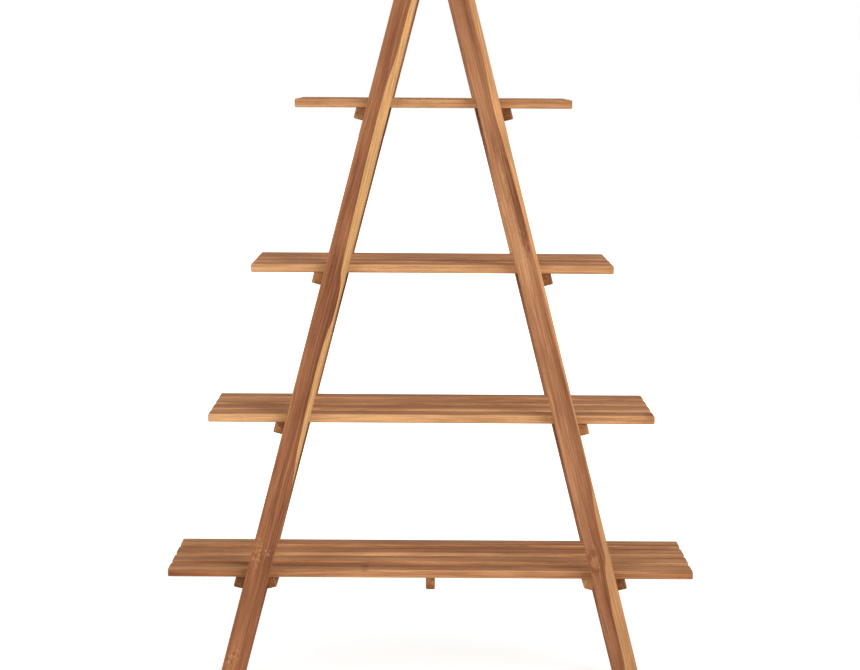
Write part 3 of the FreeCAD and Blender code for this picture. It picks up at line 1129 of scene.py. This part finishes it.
@dataclass
class Construction:
    """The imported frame, read for copies and places of its nodes."""

    nodes: dict[str, bpy.types.Object]

    def _merged(self, node: str) -> bmesh.types.BMesh:
        """Mesh of a node with its loose triangles joined up.

        Args:
            node: Node of the construction.

        Returns:
            The mesh, which the caller frees.
        """
        work = bmesh.new()
        work.from_mesh(self.nodes[node].data)
        bmesh.ops.remove_doubles(work, verts=work.verts, dist=MERGE_DISTANCE)
        work.verts.index_update()
        return work

    def dress_board(self, node: str, board: Board, finish: TeakFinish, body: str, slot: str) -> None:
        """Make a straight piece of timber with the closed shape of its node.

        Args:
            node: Node of the construction.
            board: How it lies.
            finish: Its finish.
            body: Body that it rides on.
            slot: Material slot of the record.
        """
        work = self._merged(node)
        piece = new_piece(node + "_timber", [vert.co[:] for vert in work.verts],
                          [[vert.index for vert in face.verts] for face in work.faces])
        work.free()
        smooth(piece)
        board.mark(piece.data)
        piece.data.materials.append(finish.material())
        hand_over(piece, body, slot, node)

    def solids_of(self, node: str) -> list[Box]:
        """Box of each separate solid of a node.

        Args:
            node: Node of the construction.

        Returns:
            The boxes, in the order of the node's vertices.
        """
        work = self._merged(node)
        seen: set[int] = set()
        boxes = []
        for start in work.verts:
            if start.index in seen:
                continue
            seen.add(start.index)
            waiting, members = [start], []
            while waiting:
                vert = waiting.pop()
                members.append(vert.co.copy())
                fresh = [edge.other_vert(vert) for edge in vert.link_edges]
                fresh = [other for other in fresh if other.index not in seen]
                seen.update(other.index for other in fresh)
                waiting.extend(fresh)
            boxes.append((Vector(map(min, *members)), Vector(map(max, *members))))
        work.free()
        return boxes

    def lean(self) -> float:
        """Angle of the legs from upright, read off the outer face of one.

        Returns:
            The angle in radians.
        """
        places = places_of(self.nodes["front_right_leg"].data)
        foot = places[np.argmax(places[:, 0])]
        head = places[np.argmax(places[:, 0] + places[:, 2])]
        return math.atan2(foot[0] - head[0], head[2] - foot[2])


def turn_pegs(node: str, body: str, boxes: list[Box], way: Vector, **sizes: Value) -> None:
    """Make the wooden pegs of a node.

    Args:
        node: Node of the construction.
        body: Body that they ride on.
        boxes: Box of each peg.
        way: Where their crowned ends point.
        sizes: Diameter, length, crown and seed.
    """
    middles = [(low + high) / 2 for low, high in boxes]
    pegs = grown(node + "_turned", peg_tree(), PEG_TEAK.material(), middles, turn=turned_to(way), **sizes)
    hand_over(pegs, body, "peg_teak", node)


@dataclass(frozen=True)
class Fastener:
    """A steel screw, bolt or nut: a round head with a hexagon socket, on a plain shank."""

    head_diameter: float
    head_height: float
    rim: float
    shank_diameter: float
    drive_width: float
    drive_depth: float

    def build(self, node: str, body: str, seats: list[Vector], way: Vector, length: float, seed: int) -> None:
        """Make all that a node holds.

        Args:
            node: Node of the construction.
            body: Body that they ride on.
            seats: Where head and shank meet.
            way: Where the shanks point.
            length: Length of a shank.
            seed: Seed of how they are spun.
        """
        pieces = grown(node + "_plated", fastener_tree(), STEEL.material(), seats, turn=turned_to(way),
                       shank_length=length, seed=seed, **asdict(self))
        hand_over(pieces, body, "steel", node)


@dataclass
class LadderFrame:
    """The two ladder sides: legs, rungs and pegs."""

    parts: Construction
    lean: float
    leg_width: float = 0.051
    leg_depth: float = 0.036
    leg_seed: float = 11.0
    rung_width: float = 0.038
    rung_seed: float = 31.0
    peg_diameter: float = 0.008
    peg_crown: float = 0.0005
    peg_seed: int = 5
    body: str = "frame"

    def up_grain(self, side: Side) -> Vector:
        """Unit vector up along a leg of one ladder."""
        return Vector((-side.value * math.sin(self.lean), 0.0, math.cos(self.lean)))

    def rightward(self, side: Side) -> Vector:
        """Unit vector to the right, square across the face of a leg."""
        return Vector((math.cos(self.lean), 0.0, side.value * math.sin(self.lean)))

    def leg_finish(self, side: Side, end: End, length: float) -> TeakFinish:
        """Finish of one leg: each was sawn from its own place in the log; the rear left one has painted
        shade.

        Args:
            side: Ladder of the leg.
            end: Its end of the ladder.
            length: Length of the leg.

        Returns:
            The finish.
        """
        name = f"oiled_{end.name.lower()}_{side.name.lower()}_leg_teak"
        look = LEFT_LEG_TEAK if side is Side.LEFT else RIGHT_LEG_TEAK
        if end is End.REAR:
            look = replace(look, **{"sapwood_line": (), "marks": (), **REAR_LINES_AND_SHADE[side]})
        return replace(look, name=name, grain=tuple(self.up_grain(side)), length=length, width=self.leg_width)

    def build_legs(self) -> None:
        """Make the four legs."""
        for side in Side:
            for number, end in enumerate(End):
                node = f"{end.name.lower()}_{side.name.lower()}_leg"
                low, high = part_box(node)
                half_height = (high.z - low.z) / 2
                half_length = half_height / math.cos(self.lean)
                foot_middle = max(abs(low.x), abs(high.x)) - self.leg_width / 2 / math.cos(self.lean)
                middle = Vector((side.value * (foot_middle - half_height * math.tan(self.lean)),
                                 (low.y + high.y) / 2, half_height))
                half = (half_length + self.leg_width, self.leg_width / 2, self.leg_depth / 2)
                board = Board(middle, self.up_grain(side), self.rightward(side), half,
                              self.leg_seed + 4 * side.value + number)
                finish = self.leg_finish(side, end, 2 * half_length)
                self.parts.dress_board(node, board, finish, self.body, "leg_teak")

    def build_rungs(self) -> None:
        """Make the rungs that the shelves rest on."""
        for side in Side:
            for number, level in enumerate(Level):
                node = f"{level.value}_{side.name.lower()}_rung"
                board = Board.crosswise(node, side.value * self.lean, self.rung_width,
                                        self.rung_seed + 7 * number + 3 * side.value)
                self.parts.dress_board(node, board, CLEAT_TEAK, self.body, "rung_and_cleat_teak")

    def build_pegs(self) -> None:
        """Make the pegs that pin the rungs to the legs."""
        for side in Side:
            node = f"{side.name.lower()}_rung_pegs"
            boxes = self.parts.solids_of(node)
            low, high = boxes[0]
            length = (high.x - low.x - self.peg_diameter * math.sin(self.lean)) / math.cos(self.lean)
            turn_pegs(node, self.body, boxes, self.rightward(side) * side.value, diameter=self.peg_diameter,
                      length=length, crown=self.peg_crown, seed=self.peg_seed)


@dataclass
class ApexJoint:
    """Dowels, connector bolts and sleeve nuts where the ladders meet."""

    parts: Construction
    dowel_diameter: float = 0.010
    dowel_crown: float = 0.0005
    dowel_seed: int = 9
    bolt: Fastener = Fastener(head_diameter=0.017, head_height=0.003, rim=0.0008, shank_diameter=0.006,
                              drive_width=0.004, drive_depth=0.002)
    sleeve_diameter: float = 0.009
    bolt_seed: int = 3
    body: str = "frame"

    def build_dowels(self) -> None:
        """Make the hidden dowels."""
        boxes = self.parts.solids_of("apex_dowels")
        length = boxes[0][1].x - boxes[0][0].x - 2 * self.dowel_crown
        turn_pegs("apex_dowels", self.body, boxes, Vector(X_AXIS), diameter=self.dowel_diameter,
                  length=length, crown=self.dowel_crown, seed=self.dowel_seed)

    def build_bolts(self) -> None:
        """Make the bolts, whose heads are on the left, and the sleeve nuts on the right."""
        sleeve = replace(self.bolt, shank_diameter=self.sleeve_diameter)
        for node, side, kind in (("apex_bolts", Side.LEFT, self.bolt),
                                 ("apex_sleeve_nuts", Side.RIGHT, sleeve)):
            boxes = self.parts.solids_of(node)
            seats = [Vector(((low if side is Side.LEFT else high).x - side.value * kind.head_height,
                             (low.y + high.y) / 2, (low.z + high.z) / 2)) for low, high in boxes]
            length = boxes[0][1].x - boxes[0][0].x - kind.head_height
            inward = Vector((-side.value, 0.0, 0.0))
            kind.build(node, self.body, seats, inward, length, self.bolt_seed)


@dataclass
class SlattedShelf:
    """One shelf: a row of slats, the cleats under them and the screws."""

    parts: Construction
    lean: float
    seed: int
    level: Level
    front_tones: Tones
    gap_tones: Tones                     # of the front faces behind the first
    cleat_tones: tuple[float, ...]
    marks: tuple[Mark, ...] = ()         # on the front slat
    top_tones: tuple[float, float] = (-0.12, 0.08)   # lowest and highest of the tops
    gap_spread: float = 0.12
    front_fade: float = 0.006            # from the front face back to where a slat has the tone of its top
    slat_count: int = 4
    edge_radius: float = 0.003
    end_play: float = 0.0008
    cleat_thickness: float = 0.022
    screw: Fastener = Fastener(head_diameter=0.008, head_height=0.0026, rim=0.0007, shank_diameter=0.004,
                               drive_width=0.003, drive_depth=0.0016)

    @property
    def body(self) -> str:
        """Body of the shelf, which also starts the names of its nodes."""
        return f"{self.level.value}_shelf"

    def build_slats(self) -> None:
        """Make the row of slats."""
        nodes = [f"{self.body}_slat_{number + 1}" for number in range(self.slat_count)]
        boxes = [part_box(node) for node in nodes]
        size = boxes[0][1] - boxes[0][0]
        middle = (boxes[0][0] + boxes[-1][1]) / 2
        pitch = boxes[1][0].y - boxes[0][0].y
        finish = replace(SLAT_TEAK, name=f"oiled_{self.body}_teak", marks=self.marks)
        slats = grown(f"{self.body}_slats", slat_row_tree(), finish.material(), length=size.x, width=size.y,
                      thickness=size.z, edge_radius=self.edge_radius, pitch=pitch, count=self.slat_count,
                      end_play=self.end_play, middle=tuple(middle), seed=self.seed)
        self._tone_slats(slats.data, middle, size, pitch)
        hand_over(slats, self.body, "slat_teak", *nodes)

    def _tone_slats(self, mesh: bpy.types.Mesh, middle: Vector, size: Vector, pitch: float) -> None:
        """Make the front face and the top of each slat paler or darker, the front one along its length too.

        Args:
            mesh: Mesh of the row.
            middle: Middle of the row.
            size: Size of a slat.
            pitch: From one slat to the next.
        """
        places = places_of(mesh)
        row = np.rint((places[:, 1] - middle.y) / pitch + (self.slat_count - 1) / 2).astype(int)
        share = (places[:, 0] - middle.x) / (size.x / 2)
        luck = np.random.default_rng(self.seed)
        tops = luck.uniform(*self.top_tones, self.slat_count)[row]
        faces = tones_along(self.gap_tones, share)
        faces += luck.uniform(-self.gap_spread, self.gap_spread, self.slat_count)[row]
        faces = np.where(row == 0, tones_along(self.front_tones, share), faces)
        front_of_row = middle.y + (row - (self.slat_count - 1) / 2) * pitch - size.y / 2
        inward = np.clip((places[:, 1] - front_of_row) / self.front_fade, 0.0, 1.0)
        write_attribute(mesh, "tone", faces + (tops - faces) * inward)
        write_attribute(mesh, "plain", np.where(row == 0, 0.0, 1.0))

    def build_cleats(self) -> None:
        """Make the cleats under the slats, which lean with the legs, and the upright batten."""
        tilts = {"left_cleat": -self.lean, "right_cleat": self.lean}
        if self.level is Level.BOTTOM:
            tilts |= {"left_inner_cleat": self.lean, "right_inner_cleat": -self.lean, "centre_batten": 0.0}
        for number, (name, tilt) in enumerate(tilts.items()):
            node = f"{self.body}_{name}"
            board = Board.crosswise(node, tilt, self.cleat_thickness, self.seed * 3.7 + 5 * number,
                                    self.cleat_tones[number])
            self.parts.dress_board(node, board, CLEAT_TEAK, self.body, "rung_and_cleat_teak")

    def build_screws(self) -> None:
        """Make the screws that hold the slats to the cleats."""
        node = f"{self.body}_screws"
        boxes = self.parts.solids_of(node)
        seats = [Vector(((low.x + high.x) / 2, (low.y + high.y) / 2, low.z + self.screw.head_height))
                 for low, high in boxes]
        length = min(high.z - low.z for low, high in boxes) - self.screw.head_height
        self.screw.build(node, self.body, seats, Vector(UP), length, self.seed)


BOTTOM_MARKS = (slat_mark(MarkKind.STAIN, -0.150, 0.0085, 0.012, 0.0050, 1.3),)
LOWER_MARKS = (slat_mark(MarkKind.GOLD, 0.330, -0.0060, 0.230, 0.0045),
               slat_mark(MarkKind.STAIN, 0.330, 0.0035, 0.170, 0.0050),
               slat_mark(MarkKind.STAIN, 0.496, 0.0085, 0.020, 0.0070, 2.0))
TOP_MARKS = (slat_mark(MarkKind.GOLD, 0.020, 0.0060, 0.110, 0.0040),
             slat_mark(MarkKind.STAIN, 0.040, -0.0055, 0.120, 0.0040))
SHELVES = (
    (Level.BOTTOM, (-0.62, 0.18, -0.14), (-0.10, 0.08, 0.06), (-0.45, -0.60, 0.00, 0.50, -0.20),
     BOTTOM_MARKS),
    (Level.LOWER, (0.42, 0.32, 0.23), (0.34, 0.14, 0.00), (0.12, 0.28), LOWER_MARKS),
    (Level.UPPER, (0.52, 0.34, 0.14), (0.00, -0.12, 0.00), (0.50, -0.15), ()),
    (Level.TOP, (0.30, 0.28, -0.08), (0.05, 0.05, 0.05), (0.10, -0.25), TOP_MARKS),
)


@dataclass
class Studio:
    """Pale floor, white surroundings, soft light and the camera."""

    floor_half: float = 45.0
    foot_gap: float = 0.0004             # between the floor and the feet, so that they share no plane
    floor_tint: Tint = Tint(232, 231, 228)
    near_lift: float = 0.62              # light that the camera sees added to the floor round the feet
    shade_reach: tuple[float, float] = (1.2, 3.0)   # from the middle, where the floor fades to white
    ambient: float = 0.20
    camera_place: Triple = (-0.0165061, -4.9980227, 1.478522)
    camera_pitch: float = math.radians(6.933)   # down
    camera_roll: float = math.radians(0.367)
    camera_yaw: float = math.radians(0.142)     # to the right
    focal_pixels: float = 2163.329

    def build_floor(self) -> None:
        """Make the floor, which fades to white away from the object and keeps its shadow."""
        half, low = self.floor_half, -self.foot_gap
        corners = [(-half, -half, low), (half, -half, low), (half, half, low), (-half, half, low)]
        floor = new_piece("floor", corners, [[0, 1, 2, 3]])
        material, graph = begin_material("pale_floor")
        place = graph.add("ShaderNodeTexCoord", output="Object")
        mottle = graph.noise(graph.scaled(place, 3.0), 2.0, 3.0)
        colour = graph.mix(mottle * 0.04, self.floor_tint.linear(), (0.6, 0.6, 0.6, 1.0))
        diffuse = graph.add("ShaderNodeBsdfDiffuse", {"Color": colour})
        lift = graph.ramp(graph.length(place), *self.shade_reach, self.near_lift, 1.0)
        glow = graph.add("ShaderNodeEmission", {"Strength": lift * graph.seen()})
        both = graph.add("ShaderNodeAddShader", {0: diffuse, 1: glow})
        graph.node("ShaderNodeOutputMaterial", {"Surface": both})
        floor.data.materials.append(material)

    def build_surroundings(self) -> None:
        """Make the world white to the eye and to reflections, and dimmer as light."""
        world = bpy.data.worlds.new("surroundings")
        world.use_nodes = True
        world.node_tree.nodes.clear()
        graph = Graph(world.node_tree)
        strength = graph.ramp(graph.seen(), 0.0, 1.0, self.ambient, 1.0)
        sky = graph.add("ShaderNodeBackground", {"Color": (1.0, 1.0, 1.0, 1.0), "Strength": strength})
        graph.node("ShaderNodeOutputWorld", {"Surface": sky})
        bpy.context.scene.world = world

    def build_lamps(self) -> None:
        """Hang a soft main light at the front right, a weaker one at the front left and two at the rear."""
        for name, azimuth, height, energy, softness in (("main_light", 38, 24, 1.82, 40),
                                                        ("fill_light", -42, 22, 1.30, 50),
                                                        ("rear_left_light", -140, 12, 0.75, 50),
                                                        ("rear_right_light", 140, 12, 0.75, 50)):
            lamp = bpy.data.lights.new(name, "SUN")
            lamp.energy = energy
            lamp.angle = math.radians(softness)
            turn, rise = math.radians(azimuth), math.radians(height)
            flat = math.cos(rise)
            towards = Vector((math.sin(turn) * flat, -math.cos(turn) * flat, math.sin(rise)))
            add_object(name, lamp).rotation_euler = turned_to(towards)

    def build_camera(self) -> None:
        """Stand the camera where the picture was taken from."""
        pitch, roll, yaw = self.camera_pitch, self.camera_roll, self.camera_yaw
        flat = math.cos(pitch)
        forward = Vector((math.sin(yaw) * flat, math.cos(yaw) * flat, -math.sin(pitch)))
        level = Vector((math.cos(yaw), -math.sin(yaw), 0.0))
        upright = level.cross(forward)
        right = level * math.cos(roll) + upright * math.sin(roll)
        up = upright * math.cos(roll) - level * math.sin(roll)
        lens = bpy.data.cameras.new("camera")
        lens.sensor_fit = "HORIZONTAL"
        lens.sensor_width = SENSOR_WIDTH
        lens.lens = SENSOR_WIDTH * self.focal_pixels / PICTURE_WIDTH
        camera = add_object("camera", lens)
        turn = Matrix((right, up, -forward)).transposed().to_4x4()
        camera.matrix_world = Matrix.Translation(self.camera_place) @ turn
        bpy.context.scene.camera = camera


def main() -> None:
    """Load the construction, dress it and set the stage."""
    logging.basicConfig(level=logging.INFO, format="%(name)s: %(message)s")
    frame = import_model()
    parts = Construction(frame["nodes"])
    lean = parts.lean()
    studio = Studio()
    studio.build_camera()
    ladders = LadderFrame(parts, lean)
    ladders.build_legs()
    ladders.build_rungs()
    ladders.build_pegs()
    apex = ApexJoint(parts)
    apex.build_dowels()
    apex.build_bolts()
    for number, looks in enumerate(SHELVES):
        shelf = SlattedShelf(parts, lean, number + 1, *looks)
        shelf.build_slats()
        shelf.build_cleats()
        shelf.build_screws()
    studio.build_floor()
    studio.build_surroundings()
    studio.build_lamps()
    bpy.context.scene.view_settings.view_transform = "Standard"


if __name__ == "__main__":
    main()
